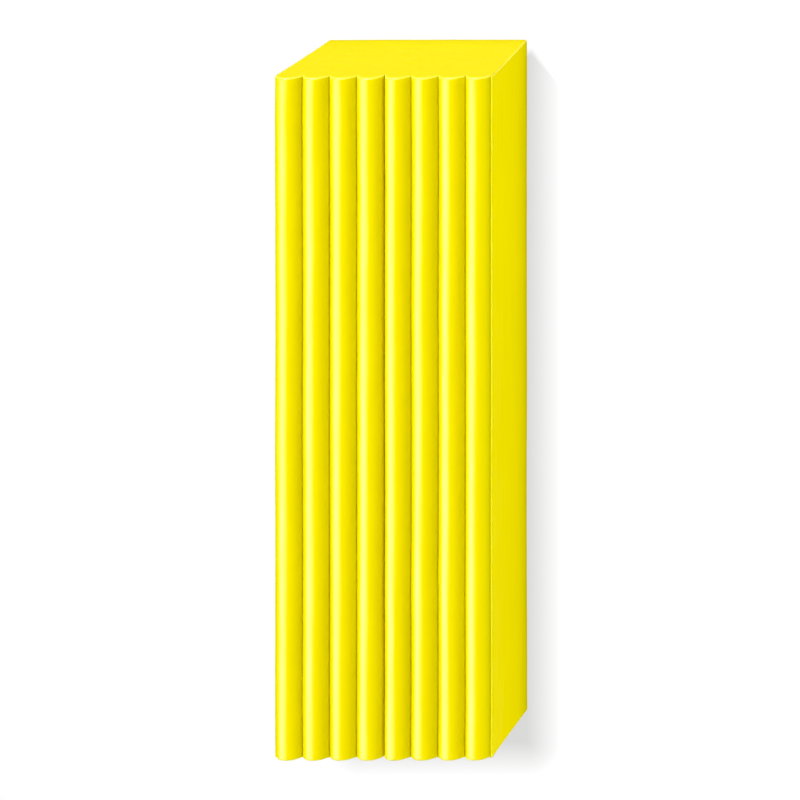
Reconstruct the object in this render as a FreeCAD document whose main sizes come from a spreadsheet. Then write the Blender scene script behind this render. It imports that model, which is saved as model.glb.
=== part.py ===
import FreeCAD, Part
import math
import os
import Sketcher

# A bar of modelling clay that lies on its flat back. Its upper face is scored
# lengthwise into equal portions, each one a low rounded rib, and the clay is
# cut or snapped into strips along the grooves between the ribs.
#
# +X runs across the ribs, +Y along them, and +Z up out of the ribbed face.
# The origin is the centre of the flat back. Lengths are in millimetres.

SIZES = {
    "portion_count": 8,
    "bar_length": 166.4,
    "bar_width": 53.0,
    "groove_height": 35.0,
    "rib_rise": 2.5,
    "crown_radius": 2.95,
    "side_draft": 1.9,
    "lip_width": 0.5,
    "edge_round": 0.4,
    "rib_end_round": 0.2,
}

PORTION_COUNT = SIZES["portion_count"]
PITCH = "Sizes.bar_width / Sizes.portion_count"
CROWN_CENTRE_HEIGHT = "Sizes.groove_height + Sizes.rib_rise - Sizes.crown_radius"

START, END, CENTRE = 1, 2, 3
X_AXIS, Z_AXIS = -1, -2
ORIGIN_POINT = (X_AXIS, START)
FLANK_GUESS = 54
TOLERANCE = 1e-4


def half_pitch():
    return SIZES["bar_width"] / PORTION_COUNT / 2


def make_sheet(doc):
    """The driving dimensions: one row each, its name in A and its value in B."""
    sheet = doc.addObject("Spreadsheet::Sheet", "Sizes")
    for row, (name, value) in enumerate(SIZES.items(), start=1):
        sheet.set(f"A{row}", name)
        sheet.set(f"B{row}", str(value))
        sheet.setAlias(f"B{row}", name)
    doc.recompute()
    return sheet


def crown_arc(middle):
    """The top of a rib about x = middle, a guess that the sketch's tangents refine."""
    radius = SIZES["crown_radius"]
    centre_height = SIZES["groove_height"] + SIZES["rib_rise"] - radius
    circle = Part.Circle(
        FreeCAD.Vector(middle, centre_height, 0), FreeCAD.Vector(0, 0, 1), radius
    )
    right_angle = math.radians(90 - FLANK_GUESS)
    left_angle = math.radians(90 + FLANK_GUESS)
    return Part.ArcOfCircle(circle, right_angle, left_angle)


def side_line(start, end):
    """A straight side between two (x, height) points of a section."""
    return Part.LineSegment(
        FreeCAD.Vector(start[0], start[1], 0), FreeCAD.Vector(end[0], end[1], 0)
    )


def add_constraint(sketch, kind, *where, name=None, size=None, expression=None):
    """Adds one constraint. A dimension has a name, a size and its expression."""
    if name is None:
        sketch.addConstraint(Sketcher.Constraint(kind, *where))
        return
    index = sketch.addConstraint(Sketcher.Constraint(kind, *where, size))
    sketch.renameConstraint(index, name)
    sketch.setExpression(f"Constraints.{name}", expression)


def section_sketch(body):
    """An empty sketch on the body's own XZ plane: its x is X and its y is Z."""
    plane = next(f for f in body.Origin.OriginFeatures if f.Role == "XZ_Plane")
    sketch = body.newObject("Sketcher::SketchObject", f"{body.Name}_section")
    sketch.AttachmentSupport = [(plane, "")]
    sketch.MapMode = "FlatFace"
    return sketch


def join_outline(sketch, count, crown):
    """Joins each element to the next, smoothly at both ends of the crown."""
    for this in range(count):
        following = (this + 1) % count
        kind = "Tangent" if crown in (this, following) else "Coincident"
        add_constraint(sketch, kind, this, END, following, START)


def size_rib(sketch, foot, seam, crown):
    """The dimensions that both kinds of strip share."""
    half = half_pitch()
    height = SIZES["groove_height"]
    radius = SIZES["crown_radius"]
    add_constraint(sketch, "Horizontal", foot)
    add_constraint(sketch, "Vertical", seam)
    add_constraint(
        sketch, "DistanceX", *ORIGIN_POINT, seam, START,
        name="half_pitch", size=half, expression=f"{PITCH} / 2",
    )
    add_constraint(
        sketch, "DistanceY", seam, START, seam, END,
        name="groove_height", size=height, expression="Sizes.groove_height",
    )
    add_constraint(
        sketch, "Radius", crown,
        name="crown_radius", size=radius, expression="Sizes.crown_radius",
    )
    add_constraint(
        sketch, "DistanceY", *ORIGIN_POINT, crown, CENTRE,
        name="crown_height", size=height + SIZES["rib_rise"] - radius,
        expression=CROWN_CENTRE_HEIGHT,
    )


def draw_inner_section(body):
    """A strip between two seams: flat foot, upright sides and one whole rib."""
    sketch = section_sketch(body)
    half = half_pitch()
    height = SIZES["groove_height"]
    crown_shape = crown_arc(0)
    foot = sketch.addGeometry(side_line((-half, 0), (half, 0)))
    right = sketch.addGeometry(side_line((half, 0), (half, height)))
    sketch.addGeometry(side_line((half, height), crown_shape.StartPoint))
    crown = sketch.addGeometry(crown_shape)
    sketch.addGeometry(side_line(crown_shape.EndPoint, (-half, height)))
    left = sketch.addGeometry(side_line((-half, height), (-half, 0)))
    join_outline(sketch, left + 1, crown)
    size_rib(sketch, foot, right, crown)
    add_constraint(sketch, "Symmetric", foot, START, foot, END, *ORIGIN_POINT)
    add_constraint(sketch, "Vertical", left)
    add_constraint(sketch, "Equal", right, left)
    add_constraint(sketch, "PointOnObject", crown, CENTRE, Z_AXIS)
    return sketch


def draw_edge_section(body):
    """An outermost strip: its left side leans in and a narrow lip edges its rib."""
    sketch = section_sketch(body)
    half = half_pitch()
    height = SIZES["groove_height"]
    lip_width = SIZES["lip_width"]
    foot_left = SIZES["side_draft"] - half
    lip_end = lip_width - half
    crown_shape = crown_arc(lip_width / 2)
    foot = sketch.addGeometry(side_line((foot_left, 0), (half, 0)))
    seam = sketch.addGeometry(side_line((half, 0), (half, height)))
    sketch.addGeometry(side_line((half, height), crown_shape.StartPoint))
    crown = sketch.addGeometry(crown_shape)
    sketch.addGeometry(side_line(crown_shape.EndPoint, (lip_end, height)))
    lip = sketch.addGeometry(side_line((lip_end, height), (-half, height)))
    outer = sketch.addGeometry(side_line((-half, height), (foot_left, 0)))
    join_outline(sketch, outer + 1, crown)
    size_rib(sketch, foot, seam, crown)
    add_constraint(sketch, "PointOnObject", foot, START, X_AXIS)
    add_constraint(sketch, "Horizontal", seam, END, lip, START)
    add_constraint(sketch, "Horizontal", lip)
    add_constraint(
        sketch, "DistanceX", outer, START, foot, END,
        name="pitch", size=2 * half, expression=PITCH,
    )
    add_constraint(
        sketch, "DistanceX", lip, END, lip, START,
        name="lip_width", size=lip_width, expression="Sizes.lip_width",
    )
    add_constraint(
        sketch, "DistanceX", outer, START, outer, END,
        name="side_draft", size=SIZES["side_draft"], expression="Sizes.side_draft",
    )
    add_constraint(
        sketch, "DistanceX", *ORIGIN_POINT, crown, CENTRE,
        name="crown_place", size=lip_width / 2, expression="Sizes.lip_width / 2",
    )
    return sketch


def edge_names(shape, wanted):
    """Names of the edges whose ends and middle all pass the test."""
    names = []
    for number, edge in enumerate(shape.Edges, start=1):
        first, last = edge.ParameterRange
        points = [edge.valueAt(at) for at in (first, (first + last) / 2, last)]
        if edge.Length > TOLERANCE and all(wanted(point) for point in points):
            names.append(f"Edge{number}")
    return names


def round_edges(body, base, radius_name, wanted):
    """A round on the wanted edges, with its radius from the sheet."""
    fillet = body.newObject("PartDesign::Fillet", f"{body.Name}_{radius_name}")
    fillet.Base = (base, edge_names(base.Shape, wanted))
    fillet.setExpression("Radius", f"Sizes.{radius_name}")
    body.Document.recompute()
    return fillet


def on_end_face(point):
    return abs(abs(point.y) - SIZES["bar_length"] / 2) < TOLERANCE


def on_foot(point):
    return point.z < TOLERANCE


def on_outer_side(point):
    """True on an outermost strip's leaning side, in that strip's own frame."""
    lean = SIZES["side_draft"] * (1 - point.z / SIZES["groove_height"])
    return abs(point.x + half_pitch() - lean) < TOLERANCE


def on_rib(point, is_edge_strip):
    """True on the rib's arc, ends included. It stops short of a lip."""
    lip = SIZES["lip_width"] if is_edge_strip else 0
    above_grooves = point.z > SIZES["groove_height"] - TOLERANCE
    return above_grooves and point.x > lip - half_pitch() - TOLERANCE


def round_strip(body, strip, is_edge_strip):
    """Rounds the strip where it meets the air, and leaves its seams square."""

    def outline_edge(point):
        foot_end = on_foot(point) and on_end_face(point)
        side_end = on_outer_side(point) and on_end_face(point)
        side_foot = on_outer_side(point) and on_foot(point)
        return foot_end or (is_edge_strip and (side_end or side_foot))

    def rib_end(point):
        return on_end_face(point) and on_rib(point, is_edge_strip)

    outline = round_edges(body, strip, "edge_round", outline_edge)
    return round_edges(body, outline, "rib_end_round", rib_end)


def make_portion(doc, index):
    """One strip, as long as the bar. The last is the first, turned end for end."""
    body = doc.addObject("PartDesign::Body", f"portion_{index + 1}")
    body.Label = f"portion_{index + 1}"
    is_edge_strip = index in (0, PORTION_COUNT - 1)
    sketch = draw_edge_section(body) if is_edge_strip else draw_inner_section(body)
    strip = body.newObject("PartDesign::Pad", f"{body.Name}_strip")
    strip.Profile = sketch
    strip.SideType = "Symmetric"
    strip.setExpression("Length", "Sizes.bar_length")
    doc.recompute()
    round_strip(body, strip, is_edge_strip)

    strip_place = f"({index} - (Sizes.portion_count - 1) / 2) * {PITCH}"
    body.setExpression(".Placement.Base.x", strip_place)
    if index == PORTION_COUNT - 1:
        body.Placement.Rotation = FreeCAD.Rotation(FreeCAD.Vector(0, 0, 1), 180)
    return body


def check_document(doc, bodies):
    """Stops the script if any object failed or any strip is not a sound solid."""
    for item in doc.Objects:
        if "Invalid" in item.State or "Error" in item.State:
            raise RuntimeError(f"{item.Name} did not recompute: {item.State}")
    for body in bodies:
        shape = body.Shape
        if shape.isNull() or not shape.isValid() or len(shape.Solids) != 1:
            raise RuntimeError(f"{body.Label} is not one valid solid")


def write_parts(bodies):
    os.makedirs("parts", exist_ok=True)
    for body in bodies:
        body.Shape.exportStep(f"parts/{body.Label}.step")


def main():
    doc = FreeCAD.newDocument("ClayBar")
    make_sheet(doc)
    portions = [make_portion(doc, index) for index in range(PORTION_COUNT)]
    doc.recompute()
    check_document(doc, portions)
    write_parts(portions)


main()
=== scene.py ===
import math

import bpy
from mathutils import Matrix, Vector, noise


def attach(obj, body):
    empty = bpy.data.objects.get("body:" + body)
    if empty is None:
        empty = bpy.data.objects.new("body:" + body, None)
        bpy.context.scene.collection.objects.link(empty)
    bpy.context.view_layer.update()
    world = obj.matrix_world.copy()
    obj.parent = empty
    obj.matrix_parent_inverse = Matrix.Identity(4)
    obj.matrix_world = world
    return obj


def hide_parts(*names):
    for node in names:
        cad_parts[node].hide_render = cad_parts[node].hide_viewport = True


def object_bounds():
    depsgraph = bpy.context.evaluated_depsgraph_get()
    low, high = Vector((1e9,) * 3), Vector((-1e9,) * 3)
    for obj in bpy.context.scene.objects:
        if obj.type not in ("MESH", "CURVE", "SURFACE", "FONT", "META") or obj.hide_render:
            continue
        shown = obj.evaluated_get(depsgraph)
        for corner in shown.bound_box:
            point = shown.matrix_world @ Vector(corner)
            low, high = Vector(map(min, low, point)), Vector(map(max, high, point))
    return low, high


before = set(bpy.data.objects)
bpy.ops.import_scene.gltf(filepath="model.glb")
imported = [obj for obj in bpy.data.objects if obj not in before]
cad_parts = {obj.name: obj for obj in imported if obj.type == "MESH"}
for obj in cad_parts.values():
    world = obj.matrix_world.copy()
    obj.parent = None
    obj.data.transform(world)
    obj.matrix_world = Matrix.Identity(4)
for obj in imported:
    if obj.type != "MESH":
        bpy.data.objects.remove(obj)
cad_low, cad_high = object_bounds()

# Looks of a bar of yellow modelling clay: eight ribbed portions side by side on a
# pale table. +X runs across the ribs, +Y along them and +Z out of the ribbed
# face. All lengths are in metres.

MM = 0.001
PORTIONS = sorted(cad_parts)
PITCH = (cad_high.x - cad_low.x) / len(PORTIONS)

# The ribbed face. Heights are above the table.
RIB_RISE = 2.5 * MM
CROWN_RADIUS = 2.95 * MM
CREST_HEIGHT = cad_high.z
GROOVE_HEIGHT = CREST_HEIGHT - RIB_RISE

# The creases in the grooves, where two portions meet. Each reaches a little up the
# flank on its left and further up the one on its right. The middle one stands open.
CREASE_DEPTH = 0.4 * MM
CREASE_LEFT_WIDTH = 0.02 * MM
CREASE_RIGHT_WIDTH = 0.5 * MM
OPEN_CREASE = len(PORTIONS) // 2
OPEN_CREASE_DEPTH = 1.4 * MM
OPEN_CREASE_LEFT_WIDTH = 0.25 * MM
OPEN_CREASE_RIGHT_WIDTH = 0.65 * MM

# The ribbed face's long edges. The left one starts part of the way up a rib, and
# the right one is a lip, the cut-off start of one more rib.
LEFT_EDGE_WIDTH = 0.2 * MM
LEFT_EDGE_ROUND = 0.2 * MM
LIP_WIDTH = 0.6 * MM
LIP_FLARE = 0.2 * MM
LIP_SLOPE = math.radians(17)
LIP_ROUND = 0.12 * MM

# The rest of the block.
SIDE_DRAFT = 1.9 * MM
FOOT_ROUND = 0.5 * MM
END_ROUND = 0.5 * MM

# How much of the end round each kind of surface takes.
RIB_SHARE = 1.0
SIDE_SHARE = 0.8
FOOT_SHARE = 0.7
LIP_SHARE = 0.1

# Mesh steps.
CROWN_STEPS = 18
FLANK_STEPS = 4
EDGE_STEPS = 6
SIDE_STEPS = 24
ROUND_STEPS = 6
RING_SPACING = 2.0 * MM
SHARP_ANGLE = math.radians(35)

# Unevenness of the clay: a slow wander of the surface with a finer one on it.
SLOW_WAVE = 34 * MM
SLOW_SHIFT = 0.12 * MM
FINE_WAVE = 9 * MM
FINE_SHIFT = 0.04 * MM
FINE_OFFSET = Vector((7, 3, 5))
FLAT_FOOT_HEIGHT = 4 * MM
NOISE_SEED = 5

# Clay colours, as linear red, green, blue and alpha.
DARK_CLOUD = (0.815, 0.690, 0.003, 1)
LIGHT_CLOUD = (0.845, 0.718, 0.002, 1)
# Painted shade: a darker olive colour laid into the grooves and on the low flanks, where the
# ribs shade each other.
GROOVE_SHADE_COLOUR = (0.700, 0.655, 0.002, 1)
# Painted highlight: a paler colour on the rounded edges round the bar's two ends.
END_EDGE_HIGHLIGHT = (0.880, 0.800, 0.070, 1)
# Where the painted groove shade starts, below the crests.
GROOVE_SHADE_START = CREST_HEIGHT - 1.0 * MM

# Details of the clay's surface. The scales are in waves per metre.
CLOUD_SCALE = 60
PORE_SCALE = 3200
DRAG_SCALE = (2600, 60, 2600)
WAVE_SCALE = (250, 45, 250)
WAVE_STRENGTH = 0.6
WAVE_HEIGHT = 0.3 * MM
GRAIN_STRENGTH = 0.12
GRAIN_HEIGHT = 0.05 * MM
SMOOTHEST = 0.36
ROUGHEST = 0.5

# The camera is a view camera whose film stays level with the ribbed face, while
# its line of sight leans over, so that the face keeps its square outline.
LINE_OF_SIGHT = Vector((0.3166, 0.2943, 1.0))
CAMERA_HEIGHT = 2.024
CAMERA_AIM = Vector((4.06 * MM, 4.05 * MM, GROOVE_HEIGHT))
LENS = 406.8
SENSOR = 36.0

# The table, in strengths of its own glow. The shade on it is a soft-edged box, moved
# away from the lamps, with a sharper slanting end at the bar's far right corner.
TABLE_SIZE = 20.0
TABLE_GAP = 0.05 * MM
SHADED_TABLE = 0.70
WHITE_TABLE = 1.0
LIT_TABLE = 1.8
SHADE_SHIFT = Vector((3.8 * MM, -4.0 * MM, 0))
SHADE_CORE_HALF = Vector((cad_high.x - 5.9 * MM, cad_high.y + 3.8 * MM, 1))
SHADE_FADE = 8.4 * MM
SHADE_CORNER = Vector((cad_high.x - 1.6 * MM, cad_high.y - 3.3 * MM, 0))
SHADE_CORNER_FACING = Vector((0.82, 0.57, 0))
SHADE_CORNER_FADE = 1.5 * MM
SHADE_END = (cad_high.y - 4.2 * MM, cad_high.y - 2.2 * MM)

# Where the table's brighter parts, at the bar's right and far sides, set in.
LIT_RIGHT = (cad_high.x + 5.5 * MM, cad_high.x + 11.5 * MM)
LIT_FAR = (cad_high.y - 0.2 * MM, cad_high.y + 3.8 * MM)

# How far from the bar the table blends into the sky, and its brighter parts end.
BLEND_TO_SKY = (0.2, 1.5)
LIT_FADE = (0.2, 1.0)

SKY_STRENGTH = 0.81
BLUE_TOE = 0.042


# ---------------------------------------------------------------- the sections

def arc_points(centre, radius, start, end, steps):
    """Points of an arc in the XZ plane. Angles are in radians from +X towards +Z."""
    points = []
    for step in range(steps + 1):
        angle = start + (end - start) * step / steps
        x = centre[0] + radius * math.cos(angle)
        z = centre[1] + radius * math.sin(angle)
        points.append((x, z))
    return points


def line_points(start, end, steps):
    """Points from start to end, without end itself."""
    points = []
    for step in range(steps):
        part = step / steps
        x = start[0] + (end[0] - start[0]) * part
        z = start[1] + (end[1] - start[1]) * part
        points.append((x, z))
    return points


def flank_angle(half_width):
    """Slope of the straight flank that starts in a groove and is tangent to the crown."""
    centre_height = RIB_RISE - CROWN_RADIUS
    reach = math.hypot(half_width, centre_height)
    return math.atan2(centre_height, half_width) + math.asin(CROWN_RADIUS / reach)


def crease_size(index):
    """Depth, left width and right width of the crease at a portion's left."""
    if index == OPEN_CREASE:
        return OPEN_CREASE_DEPTH, OPEN_CREASE_LEFT_WIDTH, OPEN_CREASE_RIGHT_WIDTH
    return CREASE_DEPTH, CREASE_LEFT_WIDTH, CREASE_RIGHT_WIDTH


def crease_points(x, slope, depth, width):
    """The bottom of a crease and its right mouth, where a flank to the right starts."""
    mouth = (x + width, GROOVE_HEIGHT + width * math.tan(slope))
    return [(x, GROOVE_HEIGHT - depth), mouth]


def mirrored(points, x):
    return [(2 * x - point[0], point[1]) for point in points][::-1]


def edge_points(side_x, side_angle, groove_x, slope, radius):
    """A round corner, from the bar's side to the flank that rises from groove_x to the right."""
    centre_x = side_x - radius * math.cos(side_angle)
    flank_height = GROOVE_HEIGHT + (centre_x - groove_x) * math.tan(slope)
    centre = (centre_x, flank_height - radius / math.cos(slope))
    return arc_points(centre, radius, side_angle, math.pi / 2 + slope, EDGE_STEPS)


def shared(points, first_share, last_share):
    """Pairs each point with a share of the end round that goes from first to last."""
    last = len(points) - 1
    step = (last_share - first_share) / last
    return [(point, first_share + step * index) for index, point in enumerate(points)]


def top_points(index, left, right):
    """The ribbed side of a portion's section, from left to right."""
    is_first = index == 0
    is_last = index == len(PORTIONS) - 1
    rib_left = left + (LEFT_EDGE_WIDTH if is_first else 0)
    rib_right = right - (LIP_WIDTH - LIP_FLARE if is_last else 0)
    slope = flank_angle((rib_right - rib_left) / 2)
    centre = ((rib_left + rib_right) / 2, CREST_HEIGHT - CROWN_RADIUS)
    upright = math.pi / 2
    crown = arc_points(centre, CROWN_RADIUS, upright + slope, upright - slope, CROWN_STEPS)

    if is_first:
        start = edge_points(left, math.pi, rib_left, slope, LEFT_EDGE_ROUND)
        start = shared(start, SIDE_SHARE, RIB_SHARE)
    else:
        depth, _, width = crease_size(index)
        start = shared(crease_points(left, slope, depth, width), RIB_SHARE, RIB_SHARE)
    depth, width, _ = crease_size(index + 1)
    end = mirrored(crease_points(rib_right, slope, depth, width), rib_right)
    rising = line_points(start[-1][0], crown[0], FLANK_STEPS)
    falling = line_points(crown[-1], end[0], FLANK_STEPS)
    rib = rising[1:] + crown[:-1] + falling + end
    top = start + shared(rib, RIB_SHARE, RIB_SHARE)
    if is_last:
        mouth = crease_points(rib_right, LIP_SLOPE, CREASE_DEPTH, CREASE_LEFT_WIDTH)[1]
        corner = edge_points(right + LIP_FLARE, 0, rib_right, LIP_SLOPE, LIP_ROUND)[::-1]
        top += shared([mouth] + corner, LIP_SHARE, SIDE_SHARE)
    return top


def side_points(low, high, is_outer):
    """A side of the section, from the foot up. The bar's own sides have a round foot."""
    if not is_outer:
        return [(point, 0) for point in line_points(low, high, SIDE_STEPS) + [high]]
    toward = 1 if high[0] > low[0] else -1
    centre = (low[0], FOOT_ROUND)
    down = -math.pi / 2
    rounded = arc_points(centre, FOOT_ROUND, down, down + toward * math.pi / 2, ROUND_STEPS)
    straight = line_points(rounded[-1], high, SIDE_STEPS - ROUND_STEPS)
    return [(point, SIDE_SHARE) for point in rounded[:-1] + straight + [high]]


def portion_section(index):
    """Foot, right side, top and left side of a portion's section.

    Each is a list of (point, share). The share says how much of the end round the
    point takes. The foot and the top run towards +X, and the sides upwards.
    """
    left = cad_low.x + PITCH * index
    right = left + PITCH
    left_is_outer = index == 0
    right_is_outer = index == len(PORTIONS) - 1
    top = top_points(index, left, right)

    inset = SIDE_DRAFT + FOOT_ROUND
    foot_left = (left + (inset if left_is_outer else 0), 0)
    foot_right = (right - (inset if right_is_outer else 0), 0)
    foot_line = line_points(foot_left, foot_right, len(top) - 1) + [foot_right]
    foot = [(point, FOOT_SHARE) for point in foot_line]

    right_side = side_points(foot_right, top[-1][0], right_is_outer)
    left_side = side_points(foot_left, top[0][0], left_is_outer)
    return foot, right_side, top, left_side


# ------------------------------------------------------------ meshes from them

def outward_normals(points):
    """Outward normals at the points of a closed outline that runs anticlockwise."""
    normals = []
    for index in range(len(points)):
        before = points[index - 1]
        after = points[(index + 1) % len(points)]
        along_x = after[0] - before[0]
        along_z = after[1] - before[1]
        length = math.hypot(along_x, along_z)
        normals.append((along_z / length, -along_x / length))
    return normals


def closed_outline(index, section):
    """The section's outline as (point, normal, share), anticlockwise from the foot.

    Where two portions meet, their shared corners only move straight up or down.
    """
    foot, right_side, top, left_side = section
    joined = foot + right_side[1:] + top[::-1][1:] + left_side[::-1][1:-1]
    normals = outward_normals([point for point, _ in joined])
    shares = [share for _, share in joined]
    top_right = len(foot) + len(right_side) - 2
    top_left = top_right + len(top) - 1
    if index > 0:
        normals[0] = (0, -1)
        normals[top_left] = (0, 1)
        shares[top_left] = RIB_SHARE
    if index < len(PORTIONS) - 1:
        normals[len(foot) - 1] = (0, -1)
        normals[top_right] = (0, 1)
        shares[top_right] = RIB_SHARE
    return [(joined[i][0], normals[i], shares[i]) for i in range(len(joined))]


def ring_places(low, high):
    """Where the rings stand along Y, each with how far its points are drawn in."""
    rounding = []
    for step in range(ROUND_STEPS):
        angle = math.pi / 2 * step / ROUND_STEPS
        rounding.append((END_ROUND * (1 - math.cos(angle)), END_ROUND * (1 - math.sin(angle))))
    count = round((high - low - 2 * END_ROUND) / RING_SPACING)
    spacing = (high - low - 2 * END_ROUND) / count
    near_end = [(low + inward, drawn_in) for inward, drawn_in in rounding]
    middle = [(low + END_ROUND + spacing * step, 0) for step in range(count + 1)]
    far_end = [(high - inward, drawn_in) for inward, drawn_in in reversed(rounding)]
    return near_end + middle + far_end


def unevenness(point):
    """The small shift that worked clay has at a place. The foot stays flat."""
    slow = noise.noise_vector(point / SLOW_WAVE) * SLOW_SHIFT
    fine = noise.noise_vector(point / FINE_WAVE + FINE_OFFSET) * FINE_SHIFT
    shift = slow + fine
    shift.z *= min(1, point.z / FLAT_FOOT_HEIGHT)
    return shift


def end_grid(vertices, ring, columns, rows):
    """A grid of vertex numbers that fills a ring. Its border is the ring itself."""
    foot = ring[:columns]
    right_side = ring[columns - 1:columns + rows - 1]
    top = ring[columns + rows - 2:2 * columns + rows - 2][::-1]
    left_side = [ring[0]] + ring[2 * columns + rows - 3:][::-1]
    grid = [foot]
    for row in range(1, rows - 1):
        up = row / (rows - 1)
        line = [left_side[row]]
        for column in range(1, columns - 1):
            across = column / (columns - 1)
            between_sides = vertices[left_side[row]].lerp(vertices[right_side[row]], across)
            upwards = vertices[foot[column]].lerp(vertices[top[column]], up)
            low = vertices[foot[0]].lerp(vertices[foot[-1]], across)
            high = vertices[top[0]].lerp(vertices[top[-1]], across)
            line.append(len(vertices))
            vertices.append(between_sides + upwards - low.lerp(high, up))
        line.append(right_side[row])
        grid.append(line)
    grid.append(top)
    return grid


def grid_faces(grid, reverse):
    faces = []
    for low, high in zip(grid, grid[1:]):
        for column in range(len(low) - 1):
            face = (low[column], low[column + 1], high[column + 1], high[column])
            faces.append(face[::-1] if reverse else face)
    return faces


def portion_mesh(index):
    """A closed mesh of one portion: rings along its length and a grid at each end."""
    section = portion_section(index)
    outline = closed_outline(index, section)
    vertices = []
    rings = []
    for y, drawn_in in ring_places(cad_low.y, cad_high.y):
        rings.append(range(len(vertices), len(vertices) + len(outline)))
        for (x, z), (normal_x, normal_z), share in outline:
            inward = drawn_in * share
            vertices.append(Vector((x - normal_x * inward, y, z - normal_z * inward)))

    faces = []
    for near, far in zip(rings, rings[1:]):
        for here in range(len(outline)):
            after = (here + 1) % len(outline)
            faces.append((near[here], far[here], far[after], near[after]))
    columns = len(section[2])
    rows = len(section[3])
    faces += grid_faces(end_grid(vertices, list(rings[0]), columns, rows), reverse=False)
    faces += grid_faces(end_grid(vertices, list(rings[-1]), columns, rows), reverse=True)

    mesh = bpy.data.meshes.new(f"clay_{PORTIONS[index]}")
    mesh.from_pydata([place + unevenness(place) for place in vertices], [], faces)
    mesh.validate()
    mesh.shade_smooth()
    mesh.set_sharp_from_angle(angle=SHARP_ANGLE)
    return mesh


# --------------------------------------------------------------------- the clay

class Nodes:
    """Short ways to add and join the nodes of a material."""

    def __init__(self, name):
        self.material = bpy.data.materials.new(name)
        self.material.use_nodes = True
        self.tree = self.material.node_tree
        self.tree.nodes.clear()

    def add(self, kind, **settings):
        node = self.tree.nodes.new(kind)
        for name, value in settings.items():
            setattr(node, name, value)
        return node

    def join(self, source, target):
        self.tree.links.new(source, target)

    def noise(self, vector, scale, detail, roughness):
        node = self.add("ShaderNodeTexNoise")
        node.inputs["Scale"].default_value = scale
        node.inputs["Detail"].default_value = detail
        node.inputs["Roughness"].default_value = roughness
        self.join(vector, node.inputs["Vector"])
        return node.outputs["Fac"]

    def vector(self, operation, first, second=(0, 0, 0)):
        node = self.add("ShaderNodeVectorMath", operation=operation)
        self.join(first, node.inputs[0])
        node.inputs[1].default_value = second
        is_number = operation in ("LENGTH", "DOT_PRODUCT")
        return node.outputs["Value" if is_number else "Vector"]

    def axes(self, vector):
        node = self.add("ShaderNodeSeparateXYZ")
        self.join(vector, node.inputs["Vector"])
        return node.outputs

    def stretched(self, vector, scale):
        node = self.add("ShaderNodeMapping")
        node.inputs["Scale"].default_value = scale
        self.join(vector, node.inputs["Vector"])
        return node.outputs["Vector"]

    def ranged(self, value, low, high, to_low, to_high):
        node = self.add("ShaderNodeMapRange")
        node.inputs["From Min"].default_value = low
        node.inputs["From Max"].default_value = high
        node.inputs["To Min"].default_value = to_low
        node.inputs["To Max"].default_value = to_high
        self.join(value, node.inputs["Value"])
        return node.outputs["Result"]

    def combined(self, operation, first, second):
        node = self.add("ShaderNodeMath", operation=operation)
        self.join(first, node.inputs[0])
        self.join(second, node.inputs[1])
        return node.outputs["Value"]

    def blended(self, factor, first, second):
        """A blend of two colours, each a socket or a plain value."""
        node = self.add("ShaderNodeMix", data_type="RGBA")
        self.join(factor, node.inputs["Factor"])
        for name, colour in (("A", first), ("B", second)):
            if isinstance(colour, tuple):
                node.inputs[name].default_value = colour
            else:
                self.join(colour, node.inputs[name])
        return node.outputs["Result"]

    def bump(self, height, strength, distance, after=None):
        node = self.add("ShaderNodeBump")
        node.inputs["Strength"].default_value = strength
        node.inputs["Distance"].default_value = distance
        self.join(height, node.inputs["Height"])
        if after is not None:
            self.join(after, node.inputs["Normal"])
        return node.outputs["Normal"]


def painted_groove_shade(nodes, place):
    """Painted shade in the grooves: 0 on the crowns of the ribs, and 1 in the grooves between
    them.
    """
    lowness = nodes.ranged(nodes.axes(place)["Z"], GROOVE_SHADE_START, GROOVE_HEIGHT, 0, 1)
    facing = nodes.add("ShaderNodeTexCoord").outputs["Normal"]
    upward = nodes.ranged(nodes.axes(facing)["Z"], 0.2, 0.5, 0, 1)
    return nodes.combined("MULTIPLY", lowness, upward)


def painted_end_highlight(nodes):
    """Painted highlight on the rounded edges round the bar's two ends: 1 there, and 0 elsewhere.
    """
    facing = nodes.add("ShaderNodeTexCoord").outputs["Normal"]
    endward = nodes.axes(nodes.vector("ABSOLUTE", facing))["Y"]
    off_sides = nodes.ranged(endward, 0.15, 0.4, 0, 1)
    off_end = nodes.ranged(endward, 0.85, 0.97, 1, 0)
    return nodes.combined("MULTIPLY", off_sides, off_end)


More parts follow.
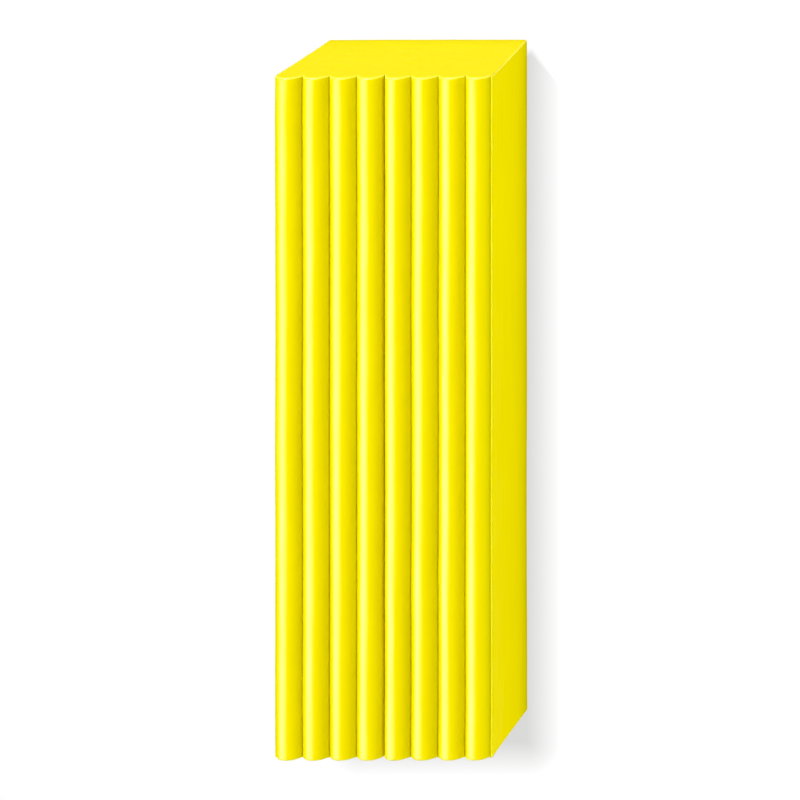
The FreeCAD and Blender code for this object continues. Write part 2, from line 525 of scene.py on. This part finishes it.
def clay_material():
    """Oily yellow clay: clouding, painted shade in the grooves, a painted highlight on the end
    edges, drag lines, pores.
    """
    nodes = Nodes("yellow clay")
    place = nodes.add("ShaderNodeTexCoord").outputs["Object"]
    surface = nodes.add("ShaderNodeBsdfPrincipled")
    output = nodes.add("ShaderNodeOutputMaterial")
    nodes.join(surface.outputs["BSDF"], output.inputs["Surface"])

    clouding = nodes.noise(place, CLOUD_SCALE, detail=3, roughness=0.55)
    clouded = nodes.blended(clouding, DARK_CLOUD, LIGHT_CLOUD)
    # Painted shade: the grooves and low flanks are darkened where the ribs shade each other.
    groove_shaded = nodes.blended(painted_groove_shade(nodes, place), clouded, GROOVE_SHADE_COLOUR)
    # Painted highlight: a paler colour on the rounded end edges, where they would catch the
    # light.
    colour = nodes.blended(painted_end_highlight(nodes), groove_shaded, END_EDGE_HIGHLIGHT)
    nodes.join(colour, surface.inputs["Base Color"])

    drag = nodes.noise(nodes.stretched(place, DRAG_SCALE), 1, detail=3, roughness=0.6)
    pores = nodes.noise(place, PORE_SCALE, detail=2, roughness=0.5)
    waves = nodes.noise(nodes.stretched(place, WAVE_SCALE), 1, detail=1, roughness=0.5)
    rough = nodes.ranged(drag, 0.3, 0.7, SMOOTHEST, ROUGHEST)
    nodes.join(rough, surface.inputs["Roughness"])
    waved = nodes.bump(waves, WAVE_STRENGTH, WAVE_HEIGHT)
    lined = nodes.bump(drag, GRAIN_STRENGTH, GRAIN_HEIGHT, after=waved)
    normal = nodes.bump(pores, GRAIN_STRENGTH, GRAIN_HEIGHT, after=lined)
    nodes.join(normal, surface.inputs["Normal"])
    surface.inputs["Specular IOR Level"].default_value = 0.5
    return nodes.material


def add_object(name, data):
    thing = bpy.data.objects.new(name, data)
    bpy.context.scene.collection.objects.link(thing)
    return thing


def make_bar():
    noise.seed_set(NOISE_SEED)
    material = clay_material()
    for index, node in enumerate(PORTIONS):
        mesh = portion_mesh(index)
        mesh.materials.append(material)
        piece = add_object(mesh.name, mesh)
        weighting = piece.modifiers.new("even shading", "WEIGHTED_NORMAL")
        weighting.keep_sharp = True
        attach(piece, "root")
        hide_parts(node)


# ----------------------------------------------------------- table, light, view

def table_shade(nodes, place, far):
    """How strongly the table glows round the bar: shaded towards +X and -Y, else white."""
    shifted = nodes.vector("SUBTRACT", place, SHADE_SHIFT)
    outside = nodes.vector("SUBTRACT", nodes.vector("ABSOLUTE", shifted), SHADE_CORE_HALF)
    from_core = nodes.vector("LENGTH", nodes.vector("MAXIMUM", outside))
    soft_edge = nodes.ranged(from_core, 0, SHADE_FADE, SHADED_TABLE, WHITE_TABLE)
    from_corner = nodes.vector("SUBTRACT", place, SHADE_CORNER)
    past_corner = nodes.vector("DOT_PRODUCT", from_corner, SHADE_CORNER_FACING)
    slanting_end = nodes.ranged(past_corner, 0, SHADE_CORNER_FADE, SHADED_TABLE, WHITE_TABLE)
    far_end = nodes.ranged(far, *SHADE_END, SHADED_TABLE, WHITE_TABLE)
    box = nodes.combined("MAXIMUM", soft_edge, slanting_end)
    return nodes.combined("MAXIMUM", box, far_end)


def table_material():
    """White glowing table, shaded near the bar and brighter at its right and far sides."""
    nodes = Nodes("white table")
    place = nodes.add("ShaderNodeTexCoord").outputs["Object"]
    away = nodes.vector("LENGTH", place)
    axes = nodes.axes(place)

    to_sky = nodes.ranged(away, *BLEND_TO_SKY, WHITE_TABLE, SKY_STRENGTH)
    shade = nodes.combined("MULTIPLY", table_shade(nodes, place, axes["Y"]), to_sky)
    extra = LIT_TABLE - WHITE_TABLE
    lit_right = nodes.ranged(axes["X"], *LIT_RIGHT, 0, extra)
    lit_far = nodes.ranged(axes["Y"], *LIT_FAR, 0, extra)
    lit = nodes.combined("MAXIMUM", lit_right, lit_far)
    lit = nodes.combined("MULTIPLY", lit, nodes.ranged(away, *LIT_FADE, 1, 0))

    glow = nodes.add("ShaderNodeEmission")
    nodes.join(nodes.combined("ADD", shade, lit), glow.inputs["Strength"])
    output = nodes.add("ShaderNodeOutputMaterial")
    nodes.join(glow.outputs["Emission"], output.inputs["Surface"])
    return nodes.material


def make_table():
    half = TABLE_SIZE / 2
    corners = [(-half, -half), (half, -half), (half, half), (-half, half)]
    mesh = bpy.data.meshes.new("table")
    mesh.from_pydata([(x, y, -TABLE_GAP) for x, y in corners], [], [(0, 1, 2, 3)])
    mesh.materials.append(table_material())
    table = add_object("table", mesh)
    table.visible_glossy = False


def make_sky():
    sky = bpy.data.worlds.new("white studio")
    sky.use_nodes = True
    background = sky.node_tree.nodes["Background"]
    background.inputs["Color"].default_value = (1, 1, 1, 1)
    background.inputs["Strength"].default_value = SKY_STRENGTH
    sky.cycles_visibility.glossy = False
    bpy.context.scene.world = sky


def add_panel(name, direction, distance, width, length, power, diffuse=True, glossy=True):
    """A soft light panel that faces the bar, with its length along the bar.

    It can be left out of the bar's diffuse light, or out of its reflections.
    """
    lamp = bpy.data.lights.new(name, "AREA")
    lamp.shape = "RECTANGLE"
    lamp.size = width
    lamp.size_y = length
    lamp.energy = power
    panel = add_object(name, lamp)
    panel.location = direction.normalized() * distance
    panel.rotation_euler = direction.to_track_quat("Z", "Y").to_euler()
    panel.visible_camera = False
    panel.visible_diffuse = diffuse
    panel.visible_glossy = glossy


def make_lights():
    """A streak of gloss from the left, a soft key, and fills for the end, rim and right side."""
    far_side = Vector((-0.25, 0.85, 0.45))
    add_panel("gloss panel", Vector((-0.72, -0.27, 0.64)), distance=1.0, width=0.35,
              length=0.8, power=12.0, diffuse=False)
    add_panel("soft panel", Vector((-0.45, 0.25, 0.85)), distance=1.2, width=0.5,
              length=0.5, power=7.6, glossy=False)
    add_panel("end panel", far_side, distance=1.2, width=0.5, length=0.5, power=2.6)
    add_panel("rim panel", far_side, distance=1.2, width=0.4, length=0.4, power=26.0,
              diffuse=False)
    add_panel("low panel", Vector((1, 0, 0.05)), distance=1.0, width=0.1, length=0.6,
              power=0.8, glossy=False)


def make_camera():
    """The camera hangs from a holder that leans its depth axis along the line of sight."""
    depth = LINE_OF_SIGHT.normalized()
    place = CAMERA_AIM + LINE_OF_SIGHT * CAMERA_HEIGHT
    leaning = Matrix.Identity(4)
    for row in range(3):
        leaning[row][2] = depth[row]
        leaning[row][3] = place[row]
    holder = add_object("camera_holder", None)
    camera = add_object("camera", bpy.data.cameras.new("camera"))
    camera.data.sensor_width = SENSOR
    camera.data.lens = LENS
    camera.data.clip_end = 10
    camera.parent = holder
    camera.matrix_parent_inverse = leaning
    bpy.context.scene.camera = camera


def make_film():
    """Plain colour, but for a toe in blue, which keeps the deep yellow clean of it."""
    film = bpy.context.scene.view_settings
    film.view_transform = "Standard"
    film.use_curve_mapping = True
    film.curve_mapping.black_level = (0, 0, BLUE_TOE)
    film.curve_mapping.update()


make_bar()
make_table()
make_sky()
make_lights()
make_camera()
make_film()
